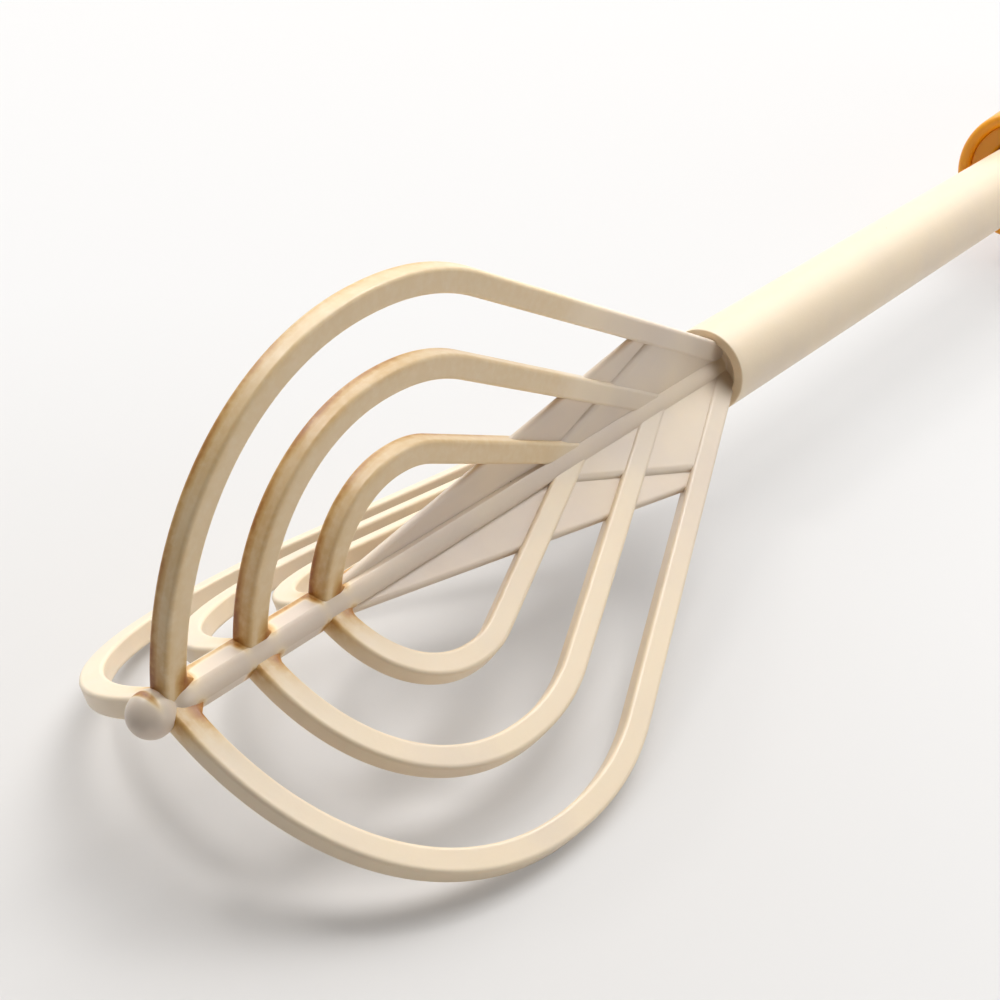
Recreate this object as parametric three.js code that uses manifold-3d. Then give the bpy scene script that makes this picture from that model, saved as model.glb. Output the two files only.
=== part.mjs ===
// Rotary push whisk. A three-winged whisk head sits on a tube that slides up into a handle. A twisted spindle
// in the handle turns the tube and the head as they go, and a spring pushes them back out.
// Millimetres, +Z up. The tool is built upright along its own Y axis, with y = 0 at the middle of the ball tip,
// and is then laid along +X so that it rests on two wings and on the palm knob.

import * as THREE from 'three';
import { mergeVertices } from 'three/addons/utils/BufferGeometryUtils.js';
import Module from 'manifold-3d';

const wasm = await Module();
wasm.setup();

// Driving dimensions of the whisk head. A loop leaves the shaft at its base, is farthest out at its widest
// place, turns in on a bend whose radius is a share of its reach, and comes back on an arm at a slope in degrees.
const WING_COUNT = 3;
const HEAD_RADIUS = 32;
const LOOPS = [
  { base: 2.2, widest: 29.9, reach: HEAD_RADIUS, bend: 0.98, slope: 26.8 },
  { base: 12.5, widest: 32.1, reach: 0.697 * HEAD_RADIUS, bend: 1.07, slope: 26.4 },
  { base: 22.8, widest: 33.5, reach: 0.4 * HEAD_RADIUS, bend: 0.92, slope: 23.1 },
];
const LOOP_FULLNESS = 2.2;
const BAR_WIDTH = 2.7;
const BAR_THICKNESS = 2.45;
const BAR_EDGE = 0.3;
const FOOT_FILLET = 1.7;
const SHAFT_RADIUS = 2.1;
const FLAT_HALF_ANGLE = THREE.MathUtils.degToRad(30);
const FLAT_START = 0.6;
const BALL_RADIUS = 2.35;
const NECK_RADIUS = 1.95;
const NECK_HEIGHT = 1.65;
const WEB_THICKNESS = 1.0;
const WEB_START = 24.8;
const WEB_TOP = { along: 77, out: 11.7 };
const GUSSET_THICKNESS = 1.6;
const GUSSET_START = 58.5;
const GUSSET_TOP = { along: 79, out: 10.5 };
const HUB_FRONT = 94.5;
const HUB_HEIGHT = 2.4;
const HUB_RADIUS = 5.5;
const HUB_RIM = 1.5;
const HUB_DISH = 2.2;
const PLUG_RADIUS = 4.0;
const PLUG_LENGTH = 13.5;
const PLUG_CHAMFER = 1.0;

// Driving dimensions of the tube and the drive
const STROKE = 50;
const TUBE_RADIUS = 5.7;
const TUBE_BORE = 4.3;
const TUBE_TOP = 213.5;
const TUBE_EDGE = 0.8;
const FLANGE_RADIUS = 8.4;
const FLANGE_HEIGHT = 2.6;
const TWIST_PITCH = 40;
const STRIP_WIDTH = 4.0;
const STRIP_THICKNESS = 1.4;
const SLOT_CLEARANCE = 0.4;
const SPINDLE_BOTTOM = 198;
const NUT_LENGTH = 9;
const NUT_CHAMFER = 0.6;
const NUT_FLANGE_RADIUS = 5.6;
const NUT_FLANGE_HEIGHT = 1.3;
const PIN_RADIUS = 0.8;
const NUT_PIN = { from: 3.1, to: 5.5, below: 4 };
const SPINDLE_PIN = { half: 4.4, below: 5 };
const WASHER = { bore: 3, radius: 7.4, height: 1 };
const SEAT = { bore: 3, radius: 7.6, height: 0.8 };
const SEAT_COLLAR = { bore: 4.2, radius: 5.2, taper: 0.2, height: 2.6 };
const WIRE_RADIUS = 0.45;
const SPRING_RADIUS = 6.2;
const SPRING_TURNS = 15;

// Driving dimensions of the handle
const HANDLE_BOTTOM = 196.4;
const HANDLE_TOP = 288;
const GRIP_RADIUS = 11.2;
const GRIP_SWELL = 12.6;
const SWELL_REACH = 20;
const GRIP_BORE = 9.1;
const GRIP_CHAMFER = 1.0;
const BUSH_INSET = 1.2;
const BUSH_LENGTH = 6.8;
const BUSH_CLEARANCE = 0.35;
const BUSH_CHAMFER = 0.6;
const BUSH_SNAP = 3.4;
const KNOB_SNAP = 4;
const SNAP_BEAD = { height: 0.45, half: 1.0 };
const SNAP_GROOVE = { depth: 0.5, mouth: 1.4, floor: 0.4 };
const KNOB_TOP = 306;
const KNOB_SHOULDER = 9;
const KNOB_NECK_INSET = 0.6;
const KNOB_FLARE = 1.5;
const KNOB_ROUND = 4.5;
const KNOB_FLAT_INSET = 8;
const KNOB_SKIRT_REACH = 10;
const POCKET_DEPTH = 6;
const POCKET_ROOM = 1.05;
const SPINDLE_SEAT_DEPTH = 2;

// Clearance between pieces, and how finely round forms are faceted
const GAP = 0.3;
const ROUND_SIDES = 28;
const SMALL_SIDES = 20;
const PIN_SIDES = 12;
const CURVE_STEPS = 5;
const LOOP_STEPS = 12;
const BEND_STEPS = 6;
const TWIST_STEPS = 16;
const WIRE_SIDES = 5;
const CURL_STEPS = 8;

// Places worked out from the driving dimensions
const WING_ANGLES = Array.from({ length: WING_COUNT }, (_, index) => (
  (2 * Math.PI * index) / WING_COUNT - Math.PI / 2
));
const FLAT_OUT = SHAFT_RADIUS * Math.cos(FLAT_HALF_ANGLE);
const SADDLE_OUT = FLAT_OUT + GAP;
const HUB_BACK = HUB_FRONT + HUB_HEIGHT;
const TUBE_BOTTOM = HUB_BACK + GAP;
const BUSH_BOTTOM = HANDLE_BOTTOM + BUSH_INSET;
const BUSH_TOP = BUSH_BOTTOM + BUSH_LENGTH;
const FLANGE_BOTTOM = BUSH_TOP + GAP;
const NUT_BOTTOM = TUBE_TOP - NUT_LENGTH;
const NUT_FLANGE_TOP = TUBE_TOP + GAP + NUT_FLANGE_HEIGHT;
const NUT_PIN_HEIGHT = TUBE_TOP - NUT_PIN.below;
const WASHER_BOTTOM = NUT_FLANGE_TOP + GAP;
const WASHER_TOP = WASHER_BOTTOM + WASHER.height;
const SEAT_BOTTOM = WASHER_TOP + GAP;
const SEAT_TOP = SEAT_BOTTOM + SEAT.height;
const KNOB_SKIRT_BOTTOM = SEAT_TOP + STROKE + KNOB_SKIRT_REACH;
const POCKET_TOP = HANDLE_TOP + POCKET_DEPTH;
const POCKET_RADIUS = SPRING_RADIUS + WIRE_RADIUS + POCKET_ROOM;
const BOSS_RADIUS = SPRING_RADIUS - WIRE_RADIUS - POCKET_ROOM;
const SPINDLE_TOP = POCKET_TOP + SPINDLE_SEAT_DEPTH;
const SPINDLE_PIN_HEIGHT = HANDLE_TOP - SPINDLE_PIN.below;
// Two wings point 30 degrees below the level. Their lowest corner sets how high the shaft lies over the table.
const WING_DROP = Math.PI / 6;
const REST_HEIGHT = (HEAD_RADIUS + BAR_WIDTH / 2 - BAR_EDGE) * Math.sin(WING_DROP)
  + (BAR_THICKNESS / 2) * Math.cos(WING_DROP);

const cream = { color: 0xecd9bb, roughness: 0.42, metalness: 0 };
const orange = { color: 0xe6930f, roughness: 0.38, metalness: 0 };
const nylon = { color: 0xe9e4d8, roughness: 0.5, metalness: 0 };
const steel = { color: 0xb9bcc0, roughness: 0.35, metalness: 1 };

// A closed geometry as a solid that can be joined and cut
function solidOf(geometry) {
  const bare = geometry.clone();
  bare.deleteAttribute('normal');
  bare.deleteAttribute('uv');
  const merged = mergeVertices(bare, 1e-4);
  const corners = [...merged.index.array];
  const triangles = [];
  for (let i = 0; i < corners.length; i += 3) {
    const [a, b, c] = corners.slice(i, i + 3);
    if (a !== b && b !== c && c !== a) {
      triangles.push(a, b, c);
    }
  }
  const vertProperties = new Float32Array(merged.attributes.position.array);
  return new wasm.Manifold(new wasm.Mesh({ numProp: 3, vertProperties, triVerts: new Uint32Array(triangles) }));
}

// A joined or cut solid as a geometry again
function geometryOf(solid) {
  const mesh = solid.getMesh();
  const geometry = new THREE.BufferGeometry();
  geometry.setAttribute('position', new THREE.BufferAttribute(new Float32Array(mesh.vertProperties), 3));
  geometry.setIndex(new THREE.BufferAttribute(new Uint32Array(mesh.triVerts), 1));
  geometry.computeVertexNormals();
  return geometry;
}

function piece(name, geometry, finish) {
  const mesh = new THREE.Mesh(geometry, new THREE.MeshStandardMaterial(finish));
  mesh.name = name;
  return mesh;
}

// A turned piece from its half section, a path of radius against height that runs upwards on the outside
function turned(path, sides = ROUND_SIDES) {
  return new THREE.LatheGeometry(path.getPoints(CURVE_STEPS), sides);
}

// A plain turned ring
function ring({ bore, radius }, bottom, top) {
  const path = new THREE.Path();
  path.moveTo(bore, bottom);
  path.lineTo(radius, bottom);
  path.lineTo(radius, top);
  path.lineTo(bore, top);
  path.lineTo(bore, bottom);
  return turned(path);
}

// A round bar across the axis, from one radius out to another, at an angle round the axis
function crossBar(radius, from, to, height, angle = 0) {
  const bar = new THREE.CylinderGeometry(radius, radius, to - from, PIN_SIDES);
  bar.rotateZ(Math.PI / 2);
  bar.translate((from + to) / 2, height, 0);
  return bar.rotateY(angle);
}

// One edge of a loop in the wing's plane, x out from the shaft and y along it, set off from the bar's middle:
// a quarter superellipse up to the widest place, a round bend, and a straight arm that ends on the axis
function loopEdge({ base, widest, reach, bend, slope }, offset) {
  const power = 2 / LOOP_FULLNESS;
  const rise = widest - base + offset;
  const points = [];
  for (let step = 0; step <= LOOP_STEPS; step += 1) {
    const angle = (Math.PI * step) / (2 * LOOP_STEPS);
    const out = (reach + offset) * Math.sin(angle) ** power;
    points.push(new THREE.Vector2(out, widest - rise * Math.cos(angle) ** power));
  }
  const armAngle = THREE.MathUtils.degToRad(slope);
  const bendRadius = bend * reach + offset;
  const bendCentre = reach - bend * reach;
  for (let step = 1; step <= BEND_STEPS; step += 1) {
    const angle = (armAngle * step) / BEND_STEPS;
    const out = bendCentre + bendRadius * Math.cos(angle);
    points.push(new THREE.Vector2(out, widest + bendRadius * Math.sin(angle)));
  }
  const bendEnd = points[points.length - 1];
  points.push(new THREE.Vector2(0, bendEnd.y + bendEnd.x / Math.tan(armAngle)));
  return points;
}

// One flat bar of a wing, bent to its loop
function loopShape(loop) {
  const outer = loopEdge(loop, BAR_WIDTH / 2);
  const inner = loopEdge(loop, -BAR_WIDTH / 2);
  return new THREE.Shape([...outer, ...inner.reverse()]);
}

// Fillet between a bar's foot and the shaft, in the corner inside the loop; it ends in a small land
function footShape({ base }) {
  const corner = base + BAR_WIDTH / 2;
  const centre = SADDLE_OUT + FOOT_FILLET;
  const landAngle = -Math.PI / 2 - THREE.MathUtils.degToRad(70);
  const shape = new THREE.Shape();
  shape.moveTo(0, base);
  shape.lineTo(centre, base);
  shape.lineTo(centre, corner);
  shape.absarc(centre, corner + FOOT_FILLET, FOOT_FILLET, -Math.PI / 2, landAngle, true);
  shape.lineTo(0, corner + FOOT_FILLET * (1 + Math.sin(landAngle)));
  return shape;
}

// A flat plate of the wing, centred on the wing's plane
function plate(shape, thickness, edge) {
  const geometry = new THREE.ExtrudeGeometry(shape, {
    depth: thickness - 2 * edge,
    curveSegments: CURVE_STEPS,
    bevelEnabled: edge > 0,
    bevelThickness: edge,
    bevelSize: edge,
    bevelOffset: -edge,
    bevelSegments: 1,
  });
  return geometry.translate(0, 0, edge - thickness / 2);
}

// A three-sided web along the shaft, from a start on the shaft up to a point on the outer arm and to the hub
function webShape(start, top) {
  const shape = new THREE.Shape();
  shape.moveTo(0, start - SHAFT_RADIUS);
  shape.lineTo(SHAFT_RADIUS, start);
  shape.lineTo(top.out, top.along);
  shape.lineTo(HUB_RADIUS - HUB_RIM / 2, HUB_FRONT);
  shape.lineTo(0, HUB_FRONT);
  return shape;
}

// One wing: three nested loops joined by the web and the thicker gusset, seated on its flat of the shaft
function wing() {
  let body = solidOf(plate(webShape(WEB_START, WEB_TOP), WEB_THICKNESS, 0));
  body = body.add(solidOf(plate(webShape(GUSSET_START, GUSSET_TOP), GUSSET_THICKNESS, 0)));
  for (const loop of LOOPS) {
    body = body.add(solidOf(plate(loopShape(loop), BAR_THICKNESS, BAR_EDGE)));
    body = body.add(solidOf(plate(footShape(loop), BAR_THICKNESS, BAR_EDGE)));
  }
  const shaftRoom = new THREE.BoxGeometry(HEAD_RADIUS, 2 * TUBE_TOP, HEAD_RADIUS);
  shaftRoom.translate(SADDLE_OUT - HEAD_RADIUS / 2, 0, 0);
  const hubRoom = new THREE.BoxGeometry(2 * HEAD_RADIUS, TUBE_TOP, HEAD_RADIUS);
  hubRoom.translate(0, HUB_FRONT - GAP + TUBE_TOP / 2, 0);
  return geometryOf(body.subtract(solidOf(shaftRoom)).subtract(solidOf(hubRoom)));
}

// Shaft of the head: ball tip and neck, the shaft with a flat under each wing, the dished hub and the plug that
// sits in the tube
function whiskShaft() {
  const dishRadius = HUB_RADIUS - HUB_RIM;
  const plugEnd = HUB_BACK + PLUG_LENGTH;
  const path = new THREE.Path();
  path.moveTo(0, -BALL_RADIUS);
  path.absarc(0, 0, BALL_RADIUS, -Math.PI / 2, Math.PI / 6, false);
  path.lineTo(NECK_RADIUS, NECK_HEIGHT);
  path.lineTo(SHAFT_RADIUS, 2 * NECK_HEIGHT);
  path.lineTo(SHAFT_RADIUS, HUB_FRONT + HUB_DISH);
  path.lineTo(dishRadius, HUB_FRONT + HUB_RIM / 2);
  path.absarc(dishRadius + HUB_RIM / 2, HUB_FRONT + HUB_RIM / 2, HUB_RIM / 2, Math.PI, 2 * Math.PI, false);
  path.lineTo(HUB_RADIUS, HUB_BACK);
  path.lineTo(PLUG_RADIUS, HUB_BACK);
  path.lineTo(PLUG_RADIUS, plugEnd - PLUG_CHAMFER);
  path.lineTo(PLUG_RADIUS - PLUG_CHAMFER, plugEnd);
  path.lineTo(0, plugEnd);
  let body = solidOf(turned(path, SMALL_SIDES));
  for (const angle of WING_ANGLES) {
    const cut = new THREE.BoxGeometry(HUB_RADIUS, HUB_FRONT - FLAT_START, 2 * HUB_RADIUS);
    cut.translate(FLAT_OUT + HUB_RADIUS / 2, (FLAT_START + HUB_FRONT) / 2, 0);
    body = body.subtract(solidOf(cut.rotateY(angle)));
  }
  return geometryOf(body);
}

// Turn of the spindle's flat strip at a height: straight in the knob, and one turn per pitch below it
function twistAt(height) {
  return (2 * Math.PI * Math.min(0, height - KNOB_SKIRT_BOTTOM)) / TWIST_PITCH;
}

// The two nut pins stand square to the strip's flat where it passes their height.
const NUT_PIN_ANGLES = [0, Math.PI].map((half) => twistAt(NUT_PIN_HEIGHT) + half);

// A piece with the two holes for the nut pins, which start at a radius
function withPinHoles(solid, from) {
  let body = solid;
  for (const angle of NUT_PIN_ANGLES) {
    body = body.subtract(solidOf(crossBar(PIN_RADIUS + GAP, from, 2 * TUBE_RADIUS, NUT_PIN_HEIGHT, angle)));
  }
  return geometryOf(body);
}

// Tube with a rounded lower rim, a stop flange that the guide bush holds, and two pin holes for the nut
function pushTube() {
  const path = new THREE.Path();
  path.moveTo(TUBE_BORE, TUBE_BOTTOM);
  path.lineTo(TUBE_RADIUS - TUBE_EDGE, TUBE_BOTTOM);
  path.absarc(TUBE_RADIUS - TUBE_EDGE, TUBE_BOTTOM + TUBE_EDGE, TUBE_EDGE, -Math.PI / 2, 0, false);
  path.lineTo(TUBE_RADIUS, FLANGE_BOTTOM);
  path.lineTo(FLANGE_RADIUS, FLANGE_BOTTOM);
  path.lineTo(FLANGE_RADIUS, FLANGE_BOTTOM + FLANGE_HEIGHT);
  path.lineTo(TUBE_RADIUS, FLANGE_BOTTOM + FLANGE_HEIGHT);
  path.lineTo(TUBE_RADIUS, TUBE_TOP);
  path.lineTo(TUBE_BORE, TUBE_TOP);
  path.lineTo(TUBE_BORE, TUBE_BOTTOM);
  return withPinHoles(solidOf(turned(path)), PLUG_RADIUS);
}

// A flat strip along the axis, twisted below the knob; the strip's flat faces along X where it is straight
function strip(clearance, bottom, top) {
  const thick = STRIP_THICKNESS + 2 * clearance;
  const wide = STRIP_WIDTH + 2 * clearance;
  const steps = Math.ceil((TWIST_STEPS * (top - bottom)) / TWIST_PITCH);
  const geometry = new THREE.BoxGeometry(thick, top - bottom, wide, 1, steps, 1);
  geometry.translate(0, (bottom + top) / 2, 0);
  const place = geometry.attributes.position;
  const point = new THREE.Vector3();
  for (let i = 0; i < place.count; i += 1) {
    point.fromBufferAttribute(place, i);
    point.applyAxisAngle(new THREE.Vector3(0, 1, 0), twistAt(point.y));
    place.setXYZ(i, point.x, point.y, point.z);
  }
  return geometry;
}

// Twisted spindle with a cross hole for its pin
function driveSpindle() {
  const body = solidOf(strip(0, SPINDLE_BOTTOM, SPINDLE_TOP));
  const hole = crossBar(PIN_RADIUS + GAP, -STRIP_WIDTH, STRIP_WIDTH, SPINDLE_PIN_HEIGHT);
  return geometryOf(body.subtract(solidOf(hole)));
}

// Nut that plugs the tube's upper end; its slot has the spindle's twist
function driveNut() {
  const path = new THREE.Path();
  path.moveTo(0, NUT_BOTTOM);
  path.lineTo(PLUG_RADIUS - NUT_CHAMFER, NUT_BOTTOM);
  path.lineTo(PLUG_RADIUS, NUT_BOTTOM + NUT_CHAMFER);
  path.lineTo(PLUG_RADIUS, TUBE_TOP + GAP);
  path.lineTo(NUT_FLANGE_RADIUS, TUBE_TOP + GAP);
  path.lineTo(NUT_FLANGE_RADIUS, NUT_FLANGE_TOP);
  path.lineTo(0, NUT_FLANGE_TOP);
  const slot = strip(SLOT_CLEARANCE, NUT_BOTTOM - STRIP_WIDTH, NUT_FLANGE_TOP + STRIP_WIDTH);
  const body = solidOf(turned(path, SMALL_SIDES)).subtract(solidOf(slot));
  return withPinHoles(body, NUT_PIN.from - GAP);
}

// Pressed cup washer that carries the spring's lower end and centres it
function springSeat() {
  const collarTop = SEAT_TOP + SEAT_COLLAR.height;
  const path = new THREE.Path();
  path.moveTo(SEAT.bore, SEAT_BOTTOM);
  path.lineTo(SEAT.radius, SEAT_BOTTOM);
  path.lineTo(SEAT.radius, SEAT_TOP);
  path.lineTo(SEAT_COLLAR.radius, SEAT_TOP);
  path.lineTo(SEAT_COLLAR.radius - SEAT_COLLAR.taper, collarTop);
  path.lineTo(SEAT_COLLAR.bore, collarTop);
  path.lineTo(SEAT_COLLAR.bore, SEAT_TOP);
  path.lineTo(SEAT.bore, SEAT_TOP);
  path.lineTo(SEAT.bore, SEAT_BOTTOM);
  return turned(path);
}

// Helix round the tool's axis
class Helix extends THREE.Curve {
  constructor(radius, bottom, top, turns) {
    super();
    Object.assign(this, { radius, bottom, top, turns });
  }

  getPoint(t, target = new THREE.Vector3()) {
    const angle = 2 * Math.PI * this.turns * t;
    const height = THREE.MathUtils.lerp(this.bottom, this.top, t);
    return target.set(this.radius * Math.cos(angle), height, this.radius * Math.sin(angle));
  }
}

// Return spring, one tube along a helix from the seat to the knob's pocket
function returnSpring() {
  const endRoom = GAP + 1.2 * WIRE_RADIUS;
  const curve = new Helix(SPRING_RADIUS, SEAT_TOP + endRoom, POCKET_TOP - endRoom, SPRING_TURNS);
  const corners = [];
  for (let side = 0; side < WIRE_SIDES; side += 1) {
    const angle = (2 * Math.PI * side) / WIRE_SIDES;
    corners.push(new THREE.Vector2(WIRE_RADIUS * Math.cos(angle), WIRE_RADIUS * Math.sin(angle)));
  }
  reportSpringGap(curve);
  return new THREE.ExtrudeGeometry(new THREE.Shape(corners), {
    steps: SPRING_TURNS * CURL_STEPS,
    extrudePath: curve,
    bevelEnabled: false,
  });
}

// Least gap between neighbouring turns, measured on points of the spring's centre line
function reportSpringGap(curve) {
  const perTurn = 24;
  const points = curve.getPoints(SPRING_TURNS * perTurn);
  let least = Infinity;
  for (let i = 0; i < points.length; i += 1) {
    for (let j = i + perTurn / 2; j < points.length; j += 1) {
      least = Math.min(least, points[i].distanceTo(points[j]) - 2 * WIRE_RADIUS);
    }
  }
  console.log(`return spring: least gap between turns ${least.toFixed(2)} mm`);
}

// A snap bead on an outside wall, on a path that runs upwards
function snapBead(path, radius, height) {
  path.lineTo(radius, height - SNAP_BEAD.half);
  path.lineTo(radius + SNAP_BEAD.height, height);
  path.lineTo(radius, height + SNAP_BEAD.half);
}

// The groove that takes a snap bead, in a bore, on a path that runs downwards
function snapGroove(path, radius, height) {
  path.lineTo(radius, height + SNAP_GROOVE.mouth);
  path.lineTo(radius + SNAP_GROOVE.depth, height + SNAP_GROOVE.floor);
  path.lineTo(radius + SNAP_GROOVE.depth, height - SNAP_GROOVE.floor);
  path.lineTo(radius, height - SNAP_GROOVE.mouth);
}

// Guide bush with a snap bead; the tube runs through it and its flange can't pass it
function guideBush() {
  const bore = TUBE_RADIUS + BUSH_CLEARANCE;
  const outer = GRIP_BORE - GAP;
  const path = new THREE.Path();
  path.moveTo(bore, BUSH_BOTTOM + BUSH_CHAMFER);
  path.lineTo(bore + BUSH_CHAMFER, BUSH_BOTTOM);
  path.lineTo(outer, BUSH_BOTTOM);
  snapBead(path, outer, BUSH_BOTTOM + BUSH_SNAP);
  path.lineTo(outer, BUSH_TOP);
  path.lineTo(bore, BUSH_TOP);
  path.lineTo(bore, BUSH_BOTTOM + BUSH_CHAMFER);
  return turned(path);
}

// Handle grip: a hollow grip with a full round lower rim, a soft swell and snap grooves in its bore
function handleGrip() {
  const wall = GRIP_RADIUS - GRIP_BORE;
  const rim = wall / 2;
  const middle = (HANDLE_BOTTOM + HANDLE_TOP) / 2;
  const path = new THREE.Path();
  path.moveTo(GRIP_BORE, HANDLE_BOTTOM + rim);
  path.absarc(GRIP_BORE + rim, HANDLE_BOTTOM + rim, rim, Math.PI, 2 * Math.PI, false);
  path.bezierCurveTo(
    GRIP_SWELL,
    middle - SWELL_REACH,
    GRIP_SWELL,
    middle + SWELL_REACH,
    GRIP_RADIUS,
    HANDLE_TOP - GRIP_CHAMFER,
  );
  path.lineTo(GRIP_RADIUS - GRIP_CHAMFER, HANDLE_TOP);
  path.lineTo(GRIP_BORE, HANDLE_TOP);
  snapGroove(path, GRIP_BORE, KNOB_SKIRT_BOTTOM + KNOB_SNAP);
  snapGroove(path, GRIP_BORE, BUSH_BOTTOM + BUSH_SNAP);
  path.lineTo(GRIP_BORE, HANDLE_BOTTOM + rim);
  return turned(path);
}

// Outside of the palm knob from its neck on the grip, over the widest place, to the flat top
function knobCap(path) {
  const bottom = HANDLE_TOP + GAP;
  const widest = bottom + KNOB_SHOULDER;
  path.lineTo(GRIP_RADIUS - KNOB_NECK_INSET, bottom);
  path.bezierCurveTo(GRIP_RADIUS + KNOB_FLARE, bottom, REST_HEIGHT, widest - KNOB_ROUND, REST_HEIGHT, widest);
  const flat = REST_HEIGHT - KNOB_FLAT_INSET;
  path.bezierCurveTo(REST_HEIGHT, widest + KNOB_ROUND, flat + KNOB_ROUND, KNOB_TOP, flat, KNOB_TOP);
  path.lineTo(0, KNOB_TOP);
}

// Palm knob: a mushroom with a flat top, a skirt that snaps into the grip, a pocket for the spring's upper end
// and a boss with a slot for the spindle
function palmKnob() {
  const skirt = GRIP_BORE - GAP;
  const path = new THREE.Path();
  path.moveTo(0, KNOB_SKIRT_BOTTOM);
  path.lineTo(BOSS_RADIUS, KNOB_SKIRT_BOTTOM);
  path.lineTo(BOSS_RADIUS, POCKET_TOP);
  path.lineTo(POCKET_RADIUS, POCKET_TOP);
  path.lineTo(POCKET_RADIUS, KNOB_SKIRT_BOTTOM);
  path.lineTo(skirt, KNOB_SKIRT_BOTTOM);
  snapBead(path, skirt, KNOB_SKIRT_BOTTOM + KNOB_SNAP);
  path.lineTo(skirt, HANDLE_TOP + GAP);
  knobCap(path);
  const slot = strip(GAP, KNOB_SKIRT_BOTTOM - GAP, SPINDLE_TOP + GAP);
  const pinHole = crossBar(PIN_RADIUS + GAP, -POCKET_RADIUS + GAP, POCKET_RADIUS - GAP, SPINDLE_PIN_HEIGHT);
  return geometryOf(solidOf(turned(path)).subtract(solidOf(slot)).subtract(solidOf(pinHole)));
}

const tool = new THREE.Group();
tool.add(piece('handle_grip', handleGrip(), orange));
tool.add(piece('palm_knob', palmKnob(), orange));
tool.add(piece('guide_bush', guideBush(), orange));
tool.add(piece('drive_spindle', driveSpindle(), steel));
const spindlePin = crossBar(PIN_RADIUS, -SPINDLE_PIN.half, SPINDLE_PIN.half, SPINDLE_PIN_HEIGHT);
tool.add(piece('spindle_pin', spindlePin, steel));
tool.add(piece('return_spring', returnSpring(), steel));
tool.add(piece('spring_seat', springSeat(), steel));
tool.add(piece('thrust_washer', ring(WASHER, WASHER_BOTTOM, WASHER_TOP), nylon));
tool.add(piece('drive_nut', driveNut(), nylon));
NUT_PIN_ANGLES.forEach((angle, index) => {
  const pin = crossBar(PIN_RADIUS, NUT_PIN.from, NUT_PIN.to, NUT_PIN_HEIGHT, angle);
  tool.add(piece(`nut_pin_${index + 1}`, pin, steel));
});
tool.add(piece('push_tube', pushTube(), cream));
tool.add(piece('whisk_shaft', whiskShaft(), cream));
const wingGeometry = wing();
WING_ANGLES.forEach((angle, index) => {
  const mesh = piece(`wing_${index + 1}`, wingGeometry.clone(), cream);
  mesh.rotation.y = angle;
  tool.add(mesh);
});
tool.rotation.z = -Math.PI / 2;
tool.position.set(-(KNOB_TOP - BALL_RADIUS) / 2, 0, REST_HEIGHT);

const whisk = new THREE.Group();
whisk.add(tool);

export default whisk;
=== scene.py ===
"""Looks of a rotary push whisk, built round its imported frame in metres.

The whisk lies along +X on two wings and its palm knob. Sizes of its pieces and finishes are millimetres.
"""

import logging
import math
from dataclasses import dataclass
from enum import Enum

import bmesh
import bpy
import numpy as np
from mathutils import Matrix, Vector


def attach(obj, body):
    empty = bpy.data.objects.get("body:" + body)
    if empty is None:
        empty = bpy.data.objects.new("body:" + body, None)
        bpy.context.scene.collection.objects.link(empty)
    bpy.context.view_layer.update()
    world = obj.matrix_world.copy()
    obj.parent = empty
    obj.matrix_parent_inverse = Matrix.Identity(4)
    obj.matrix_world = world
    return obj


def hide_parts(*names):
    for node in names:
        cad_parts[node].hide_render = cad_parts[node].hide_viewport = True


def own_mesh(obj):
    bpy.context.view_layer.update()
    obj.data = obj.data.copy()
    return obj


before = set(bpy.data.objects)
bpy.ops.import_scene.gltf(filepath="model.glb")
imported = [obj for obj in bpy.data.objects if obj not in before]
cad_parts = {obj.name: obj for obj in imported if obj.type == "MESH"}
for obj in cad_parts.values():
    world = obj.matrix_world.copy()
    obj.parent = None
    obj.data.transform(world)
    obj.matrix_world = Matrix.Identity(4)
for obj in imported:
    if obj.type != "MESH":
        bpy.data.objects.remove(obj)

LOG = logging.getLogger("whisk")
MM = 0.001
TAU = 2 * math.pi
# Attribute of yellowing and stain; on the first wing it also carries painted shade.
STAIN = "stain"
RUN = "run"
MOST_STAIN = 1.3
BALL_RADIUS = 2.35
SHARP_ANGLE = math.radians(25)
# Points in each rounded corner of a bar's section, and places of the points on the flats between corners.
CORNER_POINTS = 6
FLAT_PLACES = (0.05, 0.25, 0.5, 0.75, 0.95)
# Numbers of the colour sockets of Blender's mix node, whose names are all alike.
MIX_SHARE = 0
MIX_FIRST = 6
MIX_SECOND = 7
MIX_RESULT = 2
# Strength of an emission that shows as white.
WHITE = 1.0

Tree = bpy.types.NodeTree
Socket = bpy.types.NodeSocket
Material = bpy.types.Material
Point = tuple[float, float, float]


class Body(Enum):
    """Bodies of the frame that new pieces ride on."""

    HANDLE = "handle"
    ROTOR = "rotor"


class Slot(Enum):
    """Material slots of the record that new pieces take."""

    CREAM = "cream_plastic"
    ORANGE = "orange_plastic"
    STEEL = "steel"


def linear(code: str) -> tuple[float, float, float, float]:
    """Turns an sRGB hex colour to linear light by the standard curve.

    Args:
        code: six hex digits after a hash sign.

    Returns:
        Red, green, blue and alpha.
    """
    parts = [int(code[i : i + 2], 16) / 255 for i in (1, 3, 5)]
    light = [p / 12.92 if p <= 0.04045 else ((p + 0.055) / 1.055) ** 2.4 for p in parts]
    return (light[0], light[1], light[2], 1.0)


def add_node(
    tree: Tree, kind: str, settings: dict | None = None, links: dict | None = None
) -> bpy.types.Node:
    """Adds a shader node with its settings and links.

    Args:
        tree: node tree that takes the node.
        kind: Blender's name of the node type.
        settings: values by input name or number, or by the node's own property.
        links: output sockets by the name or number of the input they feed.

    Returns:
        The new node.
    """
    node = tree.nodes.new(kind)
    for key, value in (settings or {}).items():
        if isinstance(key, int) or key in node.inputs:
            node.inputs[key].default_value = value
        else:
            setattr(node, key, value)
    for key, socket in (links or {}).items():
        tree.links.new(socket, node.inputs[key])
    return node


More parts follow.
